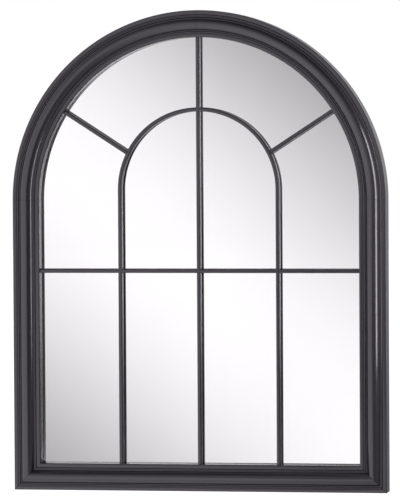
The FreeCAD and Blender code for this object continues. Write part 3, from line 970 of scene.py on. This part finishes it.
def tab_places():
    """Where the tabs enter the rebate wall, each turned to point inwards over the board."""
    wall = half_width - FACE + REBATE_WIDTH
    foot = bottom_z + FACE - REBATE_WIDTH
    rows = []
    for side in (-1, 1):
        for i in range(TABS_PER_STILE):
            rows.append((side * wall, foot + (arch_z - foot) * (i + 0.5) / TABS_PER_STILE, -side, 0.0))
        for i in range(TABS_PER_ARCH):
            turn = math.radians(90 + side * 90 * (i + 0.5) / TABS_PER_ARCH)
            out_x, out_z = math.cos(turn), math.sin(turn)
            rows.append((wall * out_x, arch_z + wall * out_z, -out_x, -out_z))
    for i in range(TABS_ON_RAIL):
        rows.append((wall * (2 * (i + 0.5) / TABS_ON_RAIL - 1), foot, 0.0, 1.0))
    return [((x, board_high.y, z), math.atan2(-inward_z, inward_x)) for x, z, inward_x, inward_z in rows]


def screw_places():
    """The four screws, with their recesses left at odd turns."""
    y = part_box("hanger_screws")[1].y - SCREW_HEAD_HEIGHT
    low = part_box("left_hanger_strap")[0].z + STRAP_FOOT_MARGIN
    corners = [(side * hanger_x, y, low + up) for side in (-1, 1) for up in (SCREW_SPACING, 0.0)]
    return list(zip(corners, SCREW_TURNS))


placing = set_in_place()
screw = made_by(turned_screw(), screw_section(), "screw_pattern", sides=SCREW_SIDES,
                recess_length=RECESS_LENGTH, recess_width=RECESS_WIDTH, recess_depth=RECESS_DEPTH,
                recess_height=SCREW_HEAD_HEIGHT, thread_turns=THREAD_TURNS, thread_radius=THREAD_RADIUS,
                thread_ridge=THREAD_RIDGE, thread_start=THREAD_START, thread_length=THREAD_LENGTH,
                finish=zinc)
screws = made_by(placing, places_mesh("screw places", screw_places()), "hanger_screw_set",
                 piece=screw, finish=zinc)
tab = pressed_tab()
tabs = made_by(placing, places_mesh("tab places", tab_places()), "retaining_tab_set", piece=tab, finish=zinc)
for pattern in (screw, tab):
    bpy.data.objects.remove(pattern)
on_frame(screws, "hanger_screws")
on_frame(tabs, "retaining_tabs")


# Studio: floor, surround, reflection card, dark card, lamps and camera

WHITE = (1, 1, 1, 1)

FLOOR_Z = bottom_z - 0.9
FLOOR_HALF = 40.0
FLOOR_WHITENING = (0.3, 1.5)
FLOOR_TONES = (0.78, 0.82)
FLOOR_SPECKLE = 30.0
FLOOR_ROUGHNESS = 0.9
FLOOR_NEAR_MIRRORED = 0.8
FLOOR_NEAR_SEEN = 0.55
# Painted light: in reflections the floor glows, brighter to the left than to the right
FLOOR_LIT_SIDE = (-0.5, 0.9)
FLOOR_LIT = (1.15, 0.30)

CARD_Y = -3.5
CARD_SIDES = (-4.5, 3.0)
CARD_HEIGHTS = (FLOOR_Z + 0.01, 2.6)
CARD_PEAK = 1.085
CARD_FALL = 0.734
CARD_BAND_SLOPE = 0.788
CARD_BAND_PERIOD = 2.258
CARD_BAND_MIDDLE = -0.854
CARD_STRIP_LEFT = (0.02, 0.40)
CARD_STRIP_RIGHT = (0.95, 1.35)
CARD_STRIP_FOOT = (-0.66, -0.34)
CARD_STRIP_LIGHT = (0.16, 1.0)

DARK_CARD_Y = -1.7
DARK_CARD_SIDES = (-1.0, 1.5)
DARK_CARD_HEIGHTS = (-1.2, 1.0)
DARK_CARD_EDGE = (-0.32, -0.06)
DARK_CARD_TOP = (-0.18, 0.06)
DARK_CARD_FOOT = (-0.75, -0.50)
DARK_CARD_COVER = 0.78
DARK_CARD_LIGHT = 0.05

STUDIO_SIDE = (-0.50, 0.65)
STUDIO_SIDE_LIGHT = (1.0, 0.10)
STUDIO_HEIGHT = (-0.01, 0.95)
STUDIO_HEIGHT_LIGHT = (1.0, 0.06)
STUDIO_BACK = (-0.25, 0.10)
ROOM_SIDE = (-0.2, 0.4)
ROOM_LIGHT = (0.85, 0.70)


def bare_tree(owner):
    """The emptied tree of a material or a world."""
    owner.use_nodes = True
    owner.node_tree.nodes.clear()
    return owner.node_tree


def glow(tree, strength):
    return node(tree, "ShaderNodeEmission", {"Color": WHITE, "Strength": strength}).outputs[0]


def flat_sheet(name, corners, finish):
    mesh = bpy.data.meshes.new(name)
    mesh.from_pydata(corners, [], [(0, 1, 2, 3)])
    mesh.materials.append(finish)
    sheet = in_scene(mesh, name)
    return sheet


def standing_card(name, y, sides, heights, finish):
    """A card that faces the object and is seen only as a reflection."""
    left, right = sides
    foot, top = heights
    card = flat_sheet(name, [(left, y, foot), (right, y, foot), (right, y, top), (left, y, top)], finish)
    card.visible_camera = False
    card.visible_diffuse = False
    card.visible_shadow = False
    return card


def floor_finish():
    """Pale floor that runs out into white away from the object, and glows as painted light in reflections,
    brighter to the left.
    """
    made, tree, shader = material("pale floor")
    place = object_place(tree)
    x, y = parts_of(tree, place)[:2]
    far = ramp(tree, hypotenuse(tree, x, y), *FLOOR_WHITENING)
    speckle = ramp(tree, noise(tree, place, FLOOR_SPECKLE), *NOISE_RANGE, *FLOOR_TONES)
    tree.links.new(joined(tree, speckle, speckle, speckle), shader.inputs["Base Color"])
    shader.inputs["Roughness"].default_value = FLOOR_ROUGHNESS
    path = node(tree, "ShaderNodeLightPath").outputs
    seen = path["Is Camera Ray"]
    mirrored = larger(tree, path["Is Glossy Ray"], path["Is Transmission Ray"])
    # Painted light: the floor's glow in reflections, brighter to the left
    lit = larger(tree, seen, ramp(tree, x, *FLOOR_LIT_SIDE, *FLOOR_LIT))
    near = larger(tree, times(tree, mirrored, FLOOR_NEAR_MIRRORED), times(tree, seen, FLOOR_NEAR_SEEN))
    shown = larger(tree, times(tree, far, larger(tree, seen, mirrored)), near)
    mixed = node(tree, "ShaderNodeMixShader", {0: shown, 1: shader.outputs[0], 2: glow(tree, lit)}).outputs[0]
    tree.links.new(mixed, tree.nodes["Material Output"].inputs["Surface"])
    return made


def card_finish():
    """A white card with a slanting band of light, and a strip at one side that is darker at its foot."""
    made = bpy.data.materials.new("reflection card")
    tree = bare_tree(made)
    x, _, z = parts_of(tree, object_place(tree))
    slant = plus(tree, z, x, CARD_BAND_SLOPE)
    phase = times(tree, less(tree, slant, CARD_BAND_MIDDLE), 2 * math.pi / CARD_BAND_PERIOD)
    fall = times(tree, less(tree, 1.0, maths(tree, "COSINE", phase)), CARD_FALL / 2)
    band_light = times(tree, less(tree, 1.0, fall), CARD_PEAK)
    strip = times(tree, ramp(tree, x, *CARD_STRIP_LEFT), ramp(tree, x, *CARD_STRIP_RIGHT, 1.0, 0.0))
    strip_light = ramp(tree, z, *CARD_STRIP_FOOT, *CARD_STRIP_LIGHT)
    light = node(tree, "ShaderNodeMix", {0: strip, 2: band_light, 3: strip_light},
                 data_type="FLOAT").outputs[0]
    node(tree, "ShaderNodeOutputMaterial", {"Surface": glow(tree, light)})
    return made


def dark_card_finish():
    """A dark card with soft edges, which takes the light off one side of the front."""
    made = bpy.data.materials.new("dark card")
    tree = bare_tree(made)
    x, _, z = parts_of(tree, object_place(tree))
    level = times(tree, ramp(tree, z, *DARK_CARD_TOP, 1.0, 0.0), ramp(tree, z, *DARK_CARD_FOOT))
    cover = times(tree, level, ramp(tree, x, *DARK_CARD_EDGE, 0.0, DARK_CARD_COVER))
    clear = node(tree, "ShaderNodeBsdfTransparent").outputs[0]
    mixed = node(tree, "ShaderNodeMixShader", {0: cover, 1: clear, 2: glow(tree, DARK_CARD_LIGHT)}).outputs[0]
    node(tree, "ShaderNodeOutputMaterial", {"Surface": mixed})
    return made


def surround():
    """White behind the object, and a studio in front of it that is brighter from the left and below."""
    world = bpy.data.worlds.new("studio")
    scene.world = world
    tree = bare_tree(world)
    x, y, z = parts_of(tree, node(tree, "ShaderNodeTexCoord").outputs["Generated"])
    from_left = ramp(tree, x, *STUDIO_SIDE, *STUDIO_SIDE_LIGHT)
    from_below = ramp(tree, z, *STUDIO_HEIGHT, *STUDIO_HEIGHT_LIGHT)
    path = node(tree, "ShaderNodeLightPath").outputs
    mirrored = larger(tree, path["Is Glossy Ray"], path["Is Transmission Ray"])
    behind = times(tree, mirrored, ramp(tree, y, *STUDIO_BACK))
    room = times(tree, path["Is Transmission Ray"], ramp(tree, x, *ROOM_SIDE, *ROOM_LIGHT))
    shown = larger(tree, path["Is Camera Ray"], larger(tree, behind, room))
    strength = larger(tree, times(tree, from_left, from_below), shown)
    light = node(tree, "ShaderNodeBackground", {"Color": WHITE, "Strength": strength}).outputs[0]
    node(tree, "ShaderNodeOutputWorld", {"Surface": light})


def soft_lamp(name, place, aim, size, watts):
    lamp = bpy.data.lights.new(name, "AREA")
    lamp.shape = "RECTANGLE"
    lamp.size, lamp.size_y = size
    lamp.energy = watts
    made = in_scene(lamp, name)
    made.location = place
    made.rotation_euler = (Vector(aim) - Vector(place)).to_track_quat("-Z", "Y").to_euler()
    made.visible_camera = False
    made.visible_transmission = False
    return made


floor_corners = [(x * FLOOR_HALF, y * FLOOR_HALF, FLOOR_Z) for x, y in ((-1, -1), (1, -1), (1, 1), (-1, 1))]
flat_sheet("floor", floor_corners, floor_finish())
card = standing_card("reflection_card", CARD_Y, CARD_SIDES, CARD_HEIGHTS, card_finish())
card.visible_glossy = False
dark_card = standing_card("dark_card", DARK_CARD_Y, DARK_CARD_SIDES, DARK_CARD_HEIGHTS, dark_card_finish())
dark_card.visible_transmission = False
surround()
soft_lamp("side_softbox", place=(0.64, -0.22, -0.08), aim=(0.0, -0.10, -0.08), size=(0.14, 0.60), watts=1.7)
front_lamp = soft_lamp("front_softbox", place=(-2.2, -3.0, -0.6), aim=(0.0, 0.0, -0.15), size=(2.0, 2.0),
                       watts=22.0)
front_lamp.visible_glossy = False

VIEW_TARGET = Vector((-0.0033, back_y, bottom_z + 0.4459))
VIEW_YAW = math.radians(10.1)
VIEW_RISE = math.radians(1.9)
VIEW_ROLL = math.radians(-0.33)
VIEW_DISTANCE = 8.0
METRES_PER_PIXEL = 0.001857
IMAGE_HEIGHT = 500
SENSOR_WIDTH = 36.0

camera_data = bpy.data.cameras.new("camera")
camera_data.sensor_width = SENSOR_WIDTH
camera_data.lens = SENSOR_WIDTH * VIEW_DISTANCE / (IMAGE_HEIGHT * METRES_PER_PIXEL)
camera = in_scene(camera_data, "camera")
ground_way = Vector((math.sin(VIEW_YAW), -math.cos(VIEW_YAW), 0.0))
towards = ground_way * math.cos(VIEW_RISE) + Vector((0.0, 0.0, math.sin(VIEW_RISE)))
straight_on = (-towards).to_track_quat("-Z", "Y").to_matrix()
camera.location = VIEW_TARGET + towards * VIEW_DISTANCE
camera.rotation_euler = (straight_on @ Matrix.Rotation(VIEW_ROLL, 3, "Z")).to_euler()
scene.camera = camera

scene.view_settings.view_transform = "Standard"
